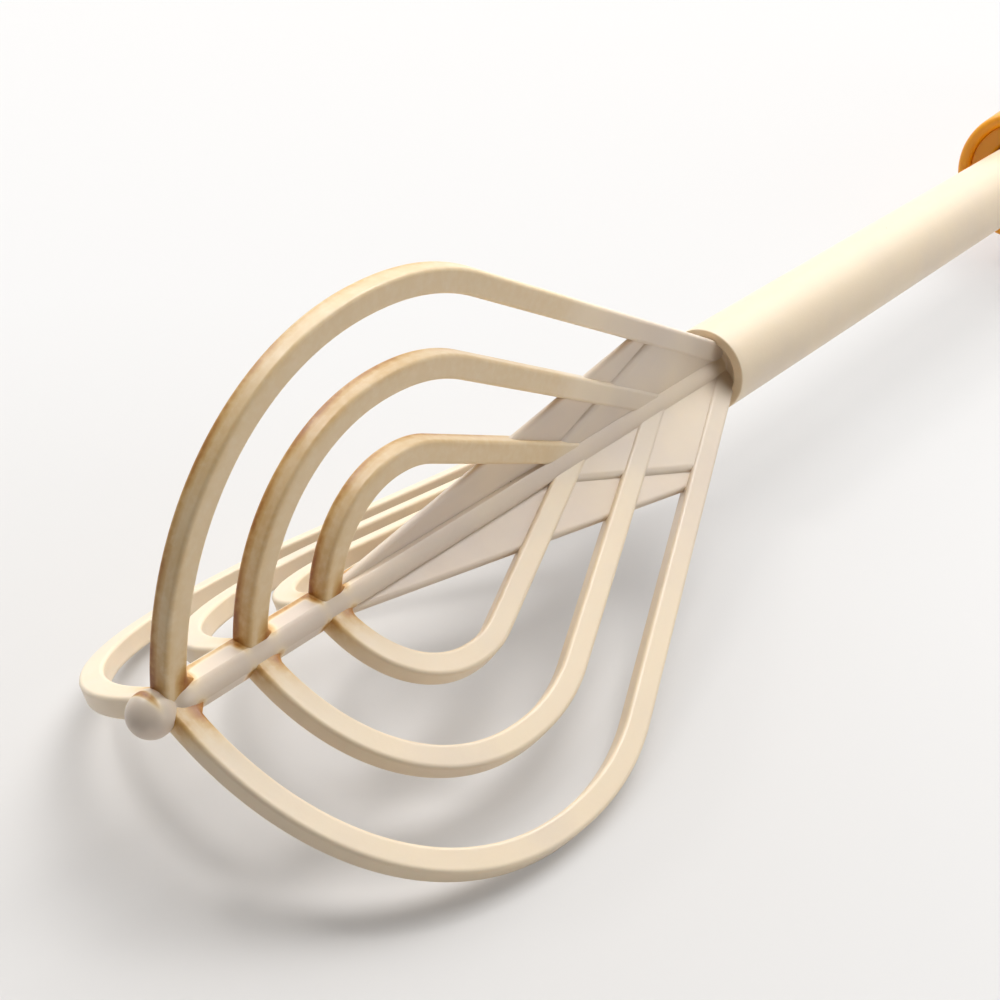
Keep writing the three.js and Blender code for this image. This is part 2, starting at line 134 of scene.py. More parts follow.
def fresh_material(name: str) -> tuple[Material, Tree]:
    """Makes an empty node material.

    Args:
        name: name of the real material.

    Returns:
        The material and its node tree.
    """
    material = bpy.data.materials.new(name)
    material.use_nodes = True
    material.node_tree.nodes.clear()
    return material, material.node_tree


@dataclass(frozen=True)
class Patches:
    """A patchy pattern: the size of a patch, the band of noise that spreads from 0 to 1, and its octaves."""

    size: float
    band: tuple[float, float]
    octaves: float = 3.0

    def share(self, tree: Tree, place: Socket) -> Socket:
        """Adds the pattern to a material.

        Args:
            tree: node tree.
            place: coordinates in metres.

        Returns:
            A value from 0 to 1.
        """
        grain = {"Scale": 1 / (self.size * MM), "Detail": self.octaves}
        noise = add_node(tree, "ShaderNodeTexNoise", grain, {"Vector": place}).outputs[0]
        spread = {"From Min": self.band[0], "From Max": self.band[1]}
        return add_node(tree, "ShaderNodeMapRange", spread, {"Value": noise}).outputs[0]


@dataclass(frozen=True)
class MouldedPlastic:
    """A moulded thermoplastic: satin, cloudy with age, stained in corners, with specks and fine scratches.

    A piece's stain attribute runs from 0, clean, over `aged_at`, fully yellowed, to 1, stained. A stain
    tints the plastic as tea does: its colour is raised to the strength of the stain and multiplied with
    the plastic's. On the first wing the attribute also carries painted shade.
    """

    name: str
    body: str
    aged: str
    stain: str
    speck: str
    roughness: float
    ior: float = 1.49
    gloss_patches: Patches = Patches(5.0, (0.3, 0.75))
    gloss_spread: tuple[float, float] = (-0.05, 0.08)
    aged_at: float = 0.3
    clouds: Patches = Patches(12.0, (0.3, 0.75))
    cloud_drift: float = 0.1
    stain_grain: Patches = Patches(0.9, (0.25, 0.6))
    thinnest_stain: float = 0.5
    speck_cell: float = 3.4
    speck_radius: float = 0.11
    speck_core: float = 0.6
    speck_share: float = 0.2
    skin_size: float = 0.5
    skin_octaves: float = 2.0
    skin_height: float = 0.012
    skin_strength: float = 0.6
    scratches: Patches = Patches(0.4, (0.45, 0.75), 1.0)
    scratch_length: float = 9.0
    scratch_patches: Patches = Patches(9.0, (0.35, 0.75), 1.0)
    scratch_dulling: float = 0.08
    glow: float = 0.10
    glow_depth: float = 1.2
    glow_reach: Point = (1.0, 0.72, 0.45)

    def material(self) -> Material:
        """Builds the material from its colour, gloss and skin.

        Returns:
            The finished material.
        """
        material, tree = fresh_material(self.name)
        place = add_node(tree, "ShaderNodeTexCoord").outputs["Object"]
        colour = self._specked(tree, place, self._coloured(tree, place))
        scratched = self._scratched(tree)
        patches = self.gloss_patches.share(tree, place)
        smoother, rougher = self.gloss_spread
        uneven = {"To Min": self.roughness + smoother, "To Max": self.roughness + rougher}
        gloss = add_node(tree, "ShaderNodeMapRange", uneven, {"Value": patches}).outputs[0]
        dull = {"operation": "MULTIPLY_ADD", 1: self.scratch_dulling}
        rough = add_node(tree, "ShaderNodeMath", dull, {0: scratched, 2: gloss}).outputs[0]
        inside = {
            "IOR": self.ior,
            "Subsurface Weight": self.glow,
            "Subsurface Scale": self.glow_depth * MM,
            "Subsurface Radius": self.glow_reach,
        }
        surface = {"Base Color": colour, "Roughness": rough, "Normal": self._skin(tree, place)}
        shader = add_node(tree, "ShaderNodeBsdfPrincipled", inside, surface)
        add_node(tree, "ShaderNodeOutputMaterial", links={"Surface": shader.outputs[0]})
        return material

    def _coloured(self, tree: Tree, place: Socket) -> Socket:
        """Mixes the clean, aged and stained colours by the stain attribute, clouded and broken up by noise.

        Args:
            tree: node tree.
            place: coordinates in metres.

        Returns:
            The colour.
        """
        amount = add_node(tree, "ShaderNodeAttribute", {"attribute_name": STAIN}).outputs["Fac"]
        cloud = self.clouds.share(tree, place)
        drift = {"To Min": -self.cloud_drift, "To Max": self.cloud_drift}
        drifted = add_node(tree, "ShaderNodeMapRange", drift, {"Value": cloud}).outputs[0]
        both = {0: amount, 1: drifted}
        clouded = add_node(tree, "ShaderNodeMath", {"operation": "ADD"}, both).outputs[0]
        ageing = {"From Min": 0.0, "From Max": self.aged_at}
        aged = add_node(tree, "ShaderNodeMapRange", ageing, {"Value": clouded}).outputs[0]
        ages = {"data_type": "RGBA", MIX_FIRST: linear(self.body), MIX_SECOND: linear(self.aged)}
        colour = add_node(tree, "ShaderNodeMix", ages, {MIX_SHARE: aged}).outputs[MIX_RESULT]
        least = {"operation": "MAXIMUM", 1: self.aged_at}
        over = add_node(tree, "ShaderNodeMath", least, {0: amount}).outputs[0]
        staining = {"From Min": self.aged_at, "From Max": 1.0, "clamp": False}
        stained = add_node(tree, "ShaderNodeMapRange", staining, {"Value": over}).outputs[0]
        grain = self.stain_grain.share(tree, place)
        thinned = {"To Min": self.thinnest_stain, "To Max": 1.0}
        broken = add_node(tree, "ShaderNodeMapRange", thinned, {"Value": grain}).outputs[0]
        both = {0: stained, 1: broken}
        share = add_node(tree, "ShaderNodeMath", {"operation": "MULTIPLY"}, both).outputs[0]
        tea = {"Color": linear(self.stain)}
        tint = add_node(tree, "ShaderNodeGamma", tea, {"Gamma": share}).outputs[0]
        tinted = {"data_type": "RGBA", "blend_type": "MULTIPLY", MIX_SHARE: 1.0}
        both = {MIX_FIRST: colour, MIX_SECOND: tint}
        return add_node(tree, "ShaderNodeMix", tinted, both).outputs[MIX_RESULT]

    def _specked(self, tree: Tree, place: Socket, colour: Socket) -> Socket:
        """Puts a small dark speck in a few of the cells of a cell pattern.

        Args:
            tree: node tree.
            place: coordinates in metres.
            colour: colour under the specks.

        Returns:
            The specked colour.
        """
        grid = {"Scale": 1 / (self.speck_cell * MM)}
        cells = add_node(tree, "ShaderNodeTexVoronoi", grid, {"Vector": place}).outputs
        radius = self.speck_radius / self.speck_cell
        disc = {"From Min": radius, "From Max": radius * self.speck_core}
        near = add_node(tree, "ShaderNodeMapRange", disc, {"Value": cells["Distance"]}).outputs[0]
        few = {"operation": "GREATER_THAN", 1: 1 - self.speck_share}
        chosen = add_node(tree, "ShaderNodeMath", few, {0: cells["Color"]}).outputs[0]
        both = {0: near, 1: chosen}
        share = add_node(tree, "ShaderNodeMath", {"operation": "MULTIPLY"}, both).outputs[0]
        dark = {"data_type": "RGBA", MIX_SECOND: linear(self.speck)}
        under = {MIX_SHARE: share, MIX_FIRST: colour}
        return add_node(tree, "ShaderNodeMix", dark, under).outputs[MIX_RESULT]

    def _scratched(self, tree: Tree) -> Socket:
        """Fine lines along the run of each piece, in patches, that dull its gloss.

        Real scratches are finer than a pixel. They are drawn this coarse so that they show.

        Args:
            tree: node tree.

        Returns:
            How dull a place is, from 0 to 1.
        """
        run = add_node(tree, "ShaderNodeAttribute", {"attribute_name": RUN}).outputs["Vector"]
        stretch = {"Scale": (self.scratches.size / self.scratch_length, 1.0, 1.0)}
        drawn = add_node(tree, "ShaderNodeMapping", stretch, {"Vector": run}).outputs[0]
        both = {0: self.scratches.share(tree, drawn), 1: self.scratch_patches.share(tree, run)}
        return add_node(tree, "ShaderNodeMath", {"operation": "MULTIPLY"}, both).outputs[0]

    def _skin(self, tree: Tree, place: Socket) -> Socket:
        """Fine bumps of the moulded skin.

        A real skin's bumps are finer than a pixel. They are drawn this coarse so that they show.

        Args:
            tree: node tree.
            place: coordinates in metres.

        Returns:
            The bumped normal.
        """
        fine = {"Scale": 1 / (self.skin_size * MM), "Detail": self.skin_octaves}
        skin = add_node(tree, "ShaderNodeTexNoise", fine, {"Vector": place}).outputs[0]
        low = {"Strength": self.skin_strength, "Distance": self.skin_height * MM}
        return add_node(tree, "ShaderNodeBump", low, {"Height": skin}).outputs[0]


@dataclass(frozen=True)
class DrawnSteel:
    """Bright drawn steel: metal with fine lines along the way it was drawn.

    Real lines are hair thin. These are drawn coarser so that they show.
    """

    name: str = "drawn_steel"
    body: str = "#C3C5C8"
    line: str = "#9A9DA2"
    roughness: float = 0.3
    gloss_spread: tuple[float, float] = (-0.06, 0.1)
    lines: Patches = Patches(0.25, (0.35, 0.65), 2.0)
    line_length: float = 12.0

    def material(self) -> Material:
        """Builds the metal with lines stretched along X.

        Returns:
            The finished material.
        """
        material, tree = fresh_material(self.name)
        place = add_node(tree, "ShaderNodeTexCoord").outputs["Object"]
        stretch = {"Scale": (self.lines.size / self.line_length, 1.0, 1.0)}
        drawn = add_node(tree, "ShaderNodeMapping", stretch, {"Vector": place}).outputs[0]
        lines = self.lines.share(tree, drawn)
        shades = {"data_type": "RGBA", MIX_FIRST: linear(self.body), MIX_SECOND: linear(self.line)}
        colour = add_node(tree, "ShaderNodeMix", shades, {MIX_SHARE: lines}).outputs[MIX_RESULT]
        smoother, rougher = self.gloss_spread
        gloss = {"To Min": self.roughness + smoother, "To Max": self.roughness + rougher}
        rough = add_node(tree, "ShaderNodeMapRange", gloss, {"Value": lines}).outputs[0]
        surface = {"Base Color": colour, "Roughness": rough}
        shader = add_node(tree, "ShaderNodeBsdfPrincipled", {"Metallic": 1.0}, surface)
        add_node(tree, "ShaderNodeOutputMaterial", links={"Surface": shader.outputs[0]})
        return material


# Cream polypropylene, injection moulded: satin, a little see-through at thin edges, greyish where clean and
# yellowed where it has been handled.
CREAM = MouldedPlastic("cream_polypropylene", "#DCCCBC", "#F0DDC0", "#BC8A42", "#5A452C", 0.34)
# Orange ABS, injection moulded: strong colour, a smoother skin, and light that reaches into its walls.
ORANGE = MouldedPlastic(
    "orange_abs",
    "#F8A406",
    "#F09A04",
    "#B5762E",
    "#7A4308",
    0.34,
    skin_height=0.008,
    glow=0.3,
    glow_depth=3.0,
)
# Natural nylon: milky off-white, dull.
NYLON = MouldedPlastic("natural_nylon", "#ECE7DB", "#E2DBCB", "#D8C9A4", "#8C8272", 0.46, glow=0.2)


@dataclass
class Skin:
    """One closed surface: a grid of points with rows along a path and columns round a section."""

    points: np.ndarray
    stain: np.ndarray
    run: np.ndarray
    ring: bool = False

    def faces(self, start: int) -> list[list[int]]:
        """Lists the grid's faces, with its two ends closed unless the rows join up.

        Args:
            start: number of the grid's first point in the mesh.

        Returns:
            Corner numbers of each face.
        """
        rows, columns = self.points.shape[:2]
        index = start + np.arange(rows * columns).reshape(rows, columns)
        lower = index if self.ring else index[:-1]
        upper = np.roll(index, -1, axis=0) if self.ring else index[1:]
        corners = (lower, np.roll(lower, -1, axis=1), np.roll(upper, -1, axis=1), upper)
        quads = np.stack(corners, axis=-1).reshape(-1, 4).tolist()
        return quads if self.ring else [*quads, index[0][::-1].tolist(), index[-1].tolist()]


def node_box(name: str) -> tuple[np.ndarray, np.ndarray]:
    """Box of a node of the frame.

    Args:
        name: the node.

    Returns:
        Its lowest and highest corner in millimetres.
    """
    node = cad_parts[name]
    corners = np.array([node.matrix_world @ Vector(corner) for corner in node.bound_box]) / MM
    return corners.min(axis=0), corners.max(axis=0)


@dataclass(frozen=True)
class ToolAxis:
    """The line that the whole tool is built round, from the ball tip along +X."""

    tip_x: float
    height: float

    @classmethod
    def of_frame(cls) -> "ToolAxis":
        """Finds the axis, which starts in the middle of the ball and is as high as the palm knob's middle.

        Returns:
            The axis.
        """
        low, high = node_box("palm_knob")
        return cls(float(node_box("whisk_shaft")[0][0]) + BALL_RADIUS, float(low[2] + high[2]) / 2)

    def span(self, name: str) -> tuple[float, float]:
        """Stretch of the axis that a node of the frame takes up.

        Args:
            name: the node.

        Returns:
            Its first and last place along the axis.
        """
        low, high = node_box(name)
        return float(low[0]) - self.tip_x, float(high[0]) - self.tip_x

    def place(
        self, along: np.ndarray, out: np.ndarray, side: np.ndarray, turn: np.ndarray | float
    ) -> np.ndarray:
        """Puts tool coordinates in the frame.

        A point lies `along` the axis from the ball, `out` from the axis in the plane of a wing that is
        turned by `turn` from straight up towards -Y, and `side` square to that plane.

        Args:
            along: millimetres from the ball's middle.
            out: millimetres from the axis.
            side: millimetres square to the wing.
            turn: angle in radians.

        Returns:
            Points in metres, with the coordinates in the last dimension.
        """
        x = self.tip_x + along
        y = -out * np.sin(turn) - side * np.cos(turn)
        z = self.height + out * np.cos(turn) - side * np.sin(turn)
        return np.stack(np.broadcast_arrays(x, y, z), axis=-1) * MM

    def on_axis(self, along: float) -> np.ndarray:
        """The point of the axis at a place along it, in metres."""
        return self.place(np.array(along), np.zeros(()), np.zeros(()), 0.0)

    def lathe(self, path: np.ndarray, sides: int, ring: bool, aged: float = 0.0) -> Skin:
        """Turns a path round the axis: each point of the path becomes a circle.

        Args:
            path: rows of radius and place along the axis.
            sides: points in a circle.
            ring: whether the path closes on itself.
            aged: its even stain.

        Returns:
            The turned surface.
        """
        turn = np.linspace(0, TAU, sides, endpoint=False)[None, :]
        points = self.place(path[:, 1:2], path[:, 0:1], np.zeros(1), turn)
        return Skin(points, np.full(points.shape[:2], aged), points, ring)


AXIS = ToolAxis.of_frame()


def make_piece(
    name: str, skins: list[Skin], material: Material, body: Body, nodes: list[str]
) -> bpy.types.Object:
    """Makes one piece of the whisk from its surfaces.

    Args:
        name: name of the piece.
        skins: closed surfaces.
        material: finish.
        body: body that it rides on.
        nodes: frame nodes that it stands for.

    Returns:
        The new object.
    """
    mesh = bpy.data.meshes.new(name)
    faces = []
    start = 0
    for skin in skins:
        faces += skin.faces(start)
        start += skin.stain.size
    mesh.from_pydata(np.concatenate([s.points.reshape(-1, 3) for s in skins]).tolist(), [], faces)
    stain = np.concatenate([s.stain.ravel() for s in skins]).astype(np.float32)
    mesh.attributes.new(STAIN, "FLOAT", "POINT").data.foreach_set("value", stain)
    run = np.concatenate([s.run.ravel() for s in skins]).astype(np.float32)
    mesh.attributes.new(RUN, "FLOAT_VECTOR", "POINT").data.foreach_set("vector", run)
    shell = bmesh.new()
    shell.from_mesh(mesh)
    bmesh.ops.recalc_face_normals(shell, faces=shell.faces)
    shell.to_mesh(mesh)
    shell.free()
    mesh.shade_smooth()
    mesh.set_sharp_from_angle(angle=SHARP_ANGLE)
    piece = bpy.data.objects.new(name, mesh)
    bpy.context.scene.collection.objects.link(piece)
    mesh.materials.append(material)
    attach(piece, body.value)
    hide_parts(*nodes)
    LOG.info("%s: %d points, stands for %s", name, start, ", ".join(nodes))
    return piece


def dress_node(name: str, finish: Material) -> None:
    """Gives a node of the frame a finish in all its material slots.

    Args:
        name: the node.
        finish: its material.
    """
    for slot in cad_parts[name].material_slots:
        slot.link = "OBJECT"
        slot.material = finish
    LOG.info("%s: keeps its shape, dressed in %s", name, finish.name)


def arc(centre: tuple[float, float], radius: float, start: float, stop: float, steps: int) -> np.ndarray:
    """Points of a circular arc.

    Args:
        centre: middle of the arc.
        radius: its radius.
        start: first angle in degrees.
        stop: last angle in degrees.
        steps: number of points.

    Returns:
        Rows of two coordinates.
    """
    angle = np.radians(np.linspace(start, stop, steps))
    return np.stack([centre[0] + radius * np.cos(angle), centre[1] + radius * np.sin(angle)], axis=1)


def bezier(start: tuple, leaving: tuple, arriving: tuple, end: tuple, steps: int = 24) -> np.ndarray:
    """Points of a cubic curve that is drawn towards two handles on its way.

    Args:
        start: first point.
        leaving: handle that it leaves towards.
        arriving: handle that it arrives from.
        end: last point.
        steps: number of points.

    Returns:
        Rows of two coordinates.
    """
    t = np.linspace(0, 1, steps)[:, None]
    ends = (1 - t) ** 3 * np.array(start) + t**3 * np.array(end)
    return ends + 3 * t * (1 - t) ** 2 * np.array(leaving) + 3 * t**2 * (1 - t) * np.array(arriving)


def bar_section(width: float, thickness: float, corner: float) -> tuple[np.ndarray, np.ndarray]:
    """Rounded rectangle of a bar: quarter circles in the corners, with points on the flats between them.

    Args:
        width: size across, in the wing's plane.
        thickness: size through the wing.
        corner: corner radius.

    Returns:
        Points (across, through) and the outward direction at each.
    """
    angle = np.radians(np.linspace(0, 90, CORNER_POINTS)[None, :] + 90 * np.arange(4)[:, None])
    ways = np.stack([np.cos(angle), np.sin(angle)], axis=-1)
    signs = np.array([[1, 1], [-1, 1], [-1, -1], [1, -1]])[:, None, :]
    rounds = signs * np.array([width / 2 - corner, thickness / 2 - corner]) + corner * ways
    share = np.array(FLAT_PLACES)[None, :, None]
    flats = rounds[:, -1:] * (1 - share) + np.roll(rounds, -1, axis=0)[:, :1] * share
    flat_ways = np.repeat(ways[:, -1:], share.size, axis=1)
    points = np.concatenate([rounds, flats], axis=1).reshape(-1, 2)
    return points, np.concatenate([ways, flat_ways], axis=1).reshape(-1, 2)


def run_length(line: np.ndarray) -> np.ndarray:
    """Length of a line up to each of its points, as a column."""
    steps = np.linalg.norm(np.diff(line, axis=0), axis=1)
    return np.concatenate([[0], np.cumsum(steps)])[:, None]


def bell(value: np.ndarray, middle: float, width: float) -> np.ndarray:
    """A soft bump of height 1 at the middle, falling off over the width."""
    return np.exp(-(((value - middle) / width) ** 2))


@dataclass(frozen=True)
class Ripple:
    """An uneven strength: 1 less its depth, plus the depth times two sines of different lengths."""

    depth: float
    first: float
    second: float
    lag: float = 0.0

    def strength(self, place: np.ndarray, shift: np.ndarray | float = 0.0) -> np.ndarray:
        """Works out the strength.

        Args:
            place: millimetres along the piece.
            shift: what is added to the first sine's angle.

        Returns:
            Strength up to 1.
        """
        waves = self.depth * np.sin(place / self.first + shift) * np.sin(place / self.second + self.lag)
        return 1 - self.depth + waves


@dataclass(frozen=True)
class Loop:
    """One teardrop bar of a wing.

    It leaves the shaft at `base` and is widest at `widest`, at `radius` from the axis. Its bend's radius is
    a share of that reach, and its arm slopes back to the shaft by `slope` degrees.
    """

    base: float
    widest: float
    radius: float
    bend: float
    slope: float


@dataclass(frozen=True)
class Web:
    """A thin plate on the shaft: where it leaves the shaft, where it meets the outer arm, its thickness."""

    start: float
    top_along: float
    top_out: float
    thickness: float


@dataclass(frozen=True)
class BarBrownAndShade:
    """Brown on a bar: in the inner corner and outside at its foot, and in a stripe up its outer face, whose
    even wash is partly dirt and partly painted shade.

    Places across and through the bar run from -1 to 1, outwards and from the far side to the near one.
    """

    foot_reach: float = 1.3
    corner: float = 0.9
    corner_across: float = 0.3
    outer_foot: float = 0.6
    far_lean: tuple[float, float] = (0.45, 0.55)
    stripes: tuple[float, ...] = (0.91, 1.12, 0.84)
    stripe_through: float = -0.62
    stripe_width: float = 0.3
    # Even brown over the outer half of a striped bar, which darkens its outer faces: partly dirt and partly
    # painted shade.
    outer_face_dirt_and_shade: float = 0.2
    stripe_reach: float = 40.0
    ripple: Ripple = Ripple(0.35, 2.3, 5.1, 1.0)
    arm_fade: float = 20.0


@dataclass(frozen=True)
class ShaftStain:
    """Brown on the shaft: at the feet, in a line beside the first wing, over the ball and in the hub.

    Pairs are a middle and a width, in millimetres past a bar's edge, in degrees from the first wing, or in
    millimetres along the axis.
    """

    faded_at: float = 40.0
    fade: float = 10.0
    above_foot: tuple[float, float] = (0.6, 0.8)
    below_foot: tuple[float, float] = (0.2, 0.5)
    foot_width: float = 34.0
    line_turn: tuple[float, float] = (-26.0, 9.0)
    line_from: float = 3.0
    ripple: Ripple = Ripple(0.25, 1.7, 4.3)
    arch: float = 1.8
    arch_along: tuple[float, float] = (-0.3, 0.35)
    arch_turn: tuple[float, float] = (-40.0, 60.0)
    arch_radius: float = 1.5
    ball_end: float = 1.0
    margin: float = 0.2
    dish: float = 0.2


@dataclass
class WhiskHead:
    """The moulded head: ball, shaft, hub and three wings of three nested loops with a web along the shaft.

    In shares of the shaft's radius, a bar starts at `bar_root` from the axis, its arm ends at `arm_root`, and
    a web starts by `web_lead` before the place where it leaves the shaft.
    """

    loops: tuple[Loop, ...] = (
        Loop(2.2, 29.9, 32.0, 0.98, 26.8),
        Loop(12.5, 32.1, 22.3, 1.07, 26.4),
        Loop(22.8, 33.5, 12.8, 0.92, 23.1),
    )
    webs: tuple[Web, ...] = (Web(24.8, 77.0, 11.7, 1.0), Web(58.5, 79.0, 10.5, 2.0))
    fullness: float = 2.2
    wing_turns: tuple[float, ...] = (0.0, TAU / 3, 2 * TAU / 3)
    bar_width: float = 2.7
    bar_thickness: float = 2.45
    bar_corner: float = 0.42
    bar_root: float = 0.4
    arm_root: float = 0.3
    bar_rows: tuple[int, int, int] = (64, 24, 48)
    inner_fillet: float = 1.3
    fillet_taper: float = 0.2
    web_lead: float = 0.8
    web_inside: float = 0.15
    web_least: float = 0.02
    web_rows: tuple[int, int] = (60, 24)
    web_places: tuple[float, ...] = (0.0, 0.3, 0.6, 0.9, 0.98)
    web_edge_points: int = 9
    ball_arc: tuple[float, float] = (-89.0, 46.0)
    ball_rows: int = 26
    neck_waist: tuple[float, float] = (1.5, 1.95)
    neck_shoulder: float = 2.2
    neck_end: float = 3.6
    neck_rows: int = 12
    fine_rows: tuple[float, float, float] = (4.0, 36.0, 0.4)
    coarse_step: float = 1.5
    shaft_radius: float = 2.1
    flat_angle: float = math.radians(30)
    flat_start: float = 0.6
    flat_run: float = 1.5
    flat_columns: int = 9
    round_columns: int = 16
    hub_front: float = 94.5
    hub_height: float = 2.4
    hub_inset: float = 0.9
    hub_radius: float = 5.5
    hub_rim: float = 1.5
    hub_lap: float = 1.0
    hub_dish: float = 2.2
    dish_round: float = 0.5
    dish_rows: int = 14
    plug_radius: float = 4.27
    plug_chamfer: float = 1.0
    # Yellowing of each wing's bars. The first wing's extra over the others is painted shade: a browner tint
    # on the wing whose faces lie in shade.
    bar_yellowing_and_shade: tuple[float, ...] = (0.37, 0.3, 0.3)
    clean_age: float = 0.08
    bar_brown_and_shade: BarBrownAndShade = BarBrownAndShade()
    shaft_stain: ShaftStain = ShaftStain()

    def build(self, finish: Material) -> None:
        """Makes the shaft and the three wings. Only the first wing has stripes, and its extra yellow-brown
        over the other wings is painted shade.

        Args:
            finish: cream plastic.
        """
        make_piece("head_shaft", [self._shaft()], finish, Body.ROTOR, ["whisk_shaft"])
        for number, (turn, age) in enumerate(zip(self.wing_turns, self.bar_yellowing_and_shade), start=1):
            stripes = self.bar_brown_and_shade.stripes if number == 1 else (0.0, 0.0, 0.0)
            skins = [self._bar(loop, turn, age, stripe) for loop, stripe in zip(self.loops, stripes)]
            skins += [self._web(web, turn) for web in self.webs]
            make_piece(f"head_wing_{number}", skins, finish, Body.ROTOR, [f"wing_{number}"])

    def _centre_line(self, loop: Loop) -> tuple[np.ndarray, np.ndarray]:
        """Middle of a bar in the wing's plane: a quarter superellipse, a round bend, then a straight arm.

        The superellipse raises the sine and cosine of its angle to two over the fullness.

        Args:
            loop: the bar's loop.

        Returns:
            Points (out, along) and the outward direction at each.
        """
        rise_rows, bend_rows, arm_rows = self.bar_rows
        power = 2 / self.fullness
        start = math.asin((self.bar_root * self.shaft_radius / loop.radius) ** (1 / power))
        t = np.linspace(start, math.pi / 2, rise_rows)
        along = loop.widest - (loop.widest - loop.base) * np.cos(t).clip(0) ** power
        rising = np.stack([loop.radius * np.sin(t) ** power, along], axis=1)
        bend = loop.bend * loop.radius
        turning = arc((loop.radius - bend, loop.widest), bend, 0, loop.slope, bend_rows)[1:]
        slope = math.radians(loop.slope)
        way = np.array([-math.sin(slope), math.cos(slope)])
        to_hub = (self.hub_front + self.hub_height - turning[-1, 1]) / way[1]
        to_shaft = (turning[-1, 0] - self.arm_root * self.shaft_radius) / -way[0]
        length = np.linspace(0, min(to_hub, to_shaft), arm_rows)[1:, None]
        line = np.concatenate([rising, turning, turning[-1] + length * way])
        step = np.gradient(line, axis=0)
        step /= np.linalg.norm(step, axis=1, keepdims=True)
        return line, np.stack([step[:, 1], -step[:, 0]], axis=1)

    def _bar(self, loop: Loop, turn: float, age: float, stripe: float) -> Skin:
        """One bar: the rounded rectangle carried along the centre line, with a fillet inside at the shaft.

        Args:
            loop: the bar's loop.
            turn: the wing's angle.
            age: how yellow the wing is; the first wing's extra over the others is painted shade.
            stripe: how strong the stain along its far edge is, with its wash that is partly painted shade.

        Returns:
            The bar's surface with stain, and painted shade on the first wing.
        """
        line, way = self._centre_line(loop)
        points, spread = bar_section(self.bar_width, self.bar_thickness, self.bar_corner)
        rising = line[:, 1:] < loop.widest
        flat_out = self.shaft_radius * math.cos(self.flat_angle)
        clear = np.where(rising, line[:, :1] - flat_out, self.inner_fillet)
        left = np.clip(self.inner_fillet - clear, 0, self.inner_fillet)
        grow = self.inner_fillet - np.sqrt(self.inner_fillet**2 - left**2)
        across = points[None, :, 0] + grow * np.clip(spread[None, :, 0], -1, 0)
        taper = self.fillet_taper * grow / self.inner_fillet
        through = points[None, :, 1] * (1 - taper * np.clip(-spread[None, :, 0], 0, 1))
        out = line[:, :1] + across * way[:, :1]
        along = line[:, 1:] + across * way[:, 1:]
        run = np.stack(np.broadcast_arrays(run_length(line), across, through), axis=-1) * MM
        return Skin(AXIS.place(along, out, through, turn), self._bar_brown_and_shade(line, points, age, stripe), run)

    def _bar_brown_and_shade(self, line: np.ndarray, points: np.ndarray, age: float, stripe: float) -> np.ndarray:
        """Stain of a bar: yellow that fades up the arm, and brown at the shaft and in a stripe, with painted
        shade on the first wing.

        The brown at the shaft falls off by the exponential of the length from the foot. In the inner
        corner it is half as strong in the middle of the bar as at its sides, by the cube of the place
        through it. The stripe is an even wash plus a bell through the bar, times a bell along it and the
        square of the place across its outer half. The wash, which darkens the outer faces, is partly dirt
        and partly painted shade.

        Args:
            line: the bar's centre line.
            points: its section.
            age: how yellow it is; the first wing's extra over the others is painted shade.
            stripe: how strong its stripe and its wash are; the wash is partly painted shade.

        Returns:
            Stain, with painted shade on the first wing, for each point of the bar.
        """
        brown = self.bar_brown_and_shade
        length = run_length(line)
        length = length - length[np.argmax(line[:, 0] > self.shaft_radius)]
        across = points[None, :, 0] / (self.bar_width / 2)
        through = points[None, :, 1] / (self.bar_thickness / 2)
        outer = np.clip(across, 0, 1)
        at_foot = np.exp(-np.clip(length, 0, None) / brown.foot_reach)
        inner = np.clip(brown.corner_across - across, 0, 1)
        corner = at_foot * inner * (0.5 + 0.5 * np.abs(through) ** 3)
        far = (brown.far_lean[0] - brown.far_lean[1] * through).clip(0, 1)
        # The wash under the stripe is partly dirt and partly painted shade.
        streak_and_shade = brown.outer_face_dirt_and_shade + bell(through, brown.stripe_through, brown.stripe_width)
        edge = outer**2 * streak_and_shade * bell(length, 0, brown.stripe_reach)
        stripe_and_shade = stripe * edge * brown.ripple.strength(length, across)
        # Yellow fades towards the hub; the first wing's extra in its age is painted shade.
        fade = np.clip((line[:, 1:] - self.webs[1].start) / brown.arm_fade, 0, 1)
        aged = age + (self.clean_age - age) * fade
        stain = aged + brown.corner * corner + brown.outer_foot * (at_foot * outer * far) + stripe_and_shade
        return np.clip(stain, 0, MOST_STAIN)

    def _web(self, web: Web, turn: float) -> Skin:
        """A thin web along the shaft, of a flat section with a round free edge.

        Its reach grows in a straight line to the outer arm and then follows that arm down to the hub.

        Args:
            web: its sizes.
            turn: the wing's angle.

        Returns:
            The web's surface.
        """
        rise_rows, fall_rows = self.web_rows
        foot = web.start - self.web_lead * self.shaft_radius
        hub_end = self.hub_front + self.hub_height / 2
        falling = np.linspace(web.top_along, hub_end, fall_rows)[1:]
        along = np.concatenate([np.linspace(foot, web.top_along, rise_rows), falling])
        slope = (web.top_out - self.shaft_radius) / (web.top_along - web.start)
        rising = self.shaft_radius + (along - web.start) * slope
        hub_reach = self.hub_radius - self.hub_rim / 2
        fall = (hub_reach - web.top_out) / (self.hub_front - web.top_along)
        reach = np.minimum(rising, web.top_out + (along - web.top_along) * fall)[:, None]
        half = web.thickness / 2
        share = np.array(self.web_places)
        round_edge = np.radians(np.linspace(-90, 90, self.web_edge_points))
        inside = self.web_inside
        flat = inside + share[None, :] * np.clip(reach - half - inside, self.web_least, None)
        nose_root = np.clip(reach - half, inside + self.web_least, None)
        nose = nose_root + half * np.cos(round_edge)[None, :]
        out = np.concatenate([flat, nose, flat[:, ::-1]], axis=1)
        flat_side = np.full(share.size, half)
        side = np.concatenate([-flat_side, half * np.sin(round_edge), flat_side])[None, :]
        points = AXIS.place(along[:, None], out, side, turn)
        run = np.stack(np.broadcast_arrays(along[:, None], out, side), axis=-1) * MM
        return Skin(points, np.full(points.shape[:2], self.clean_age), run)

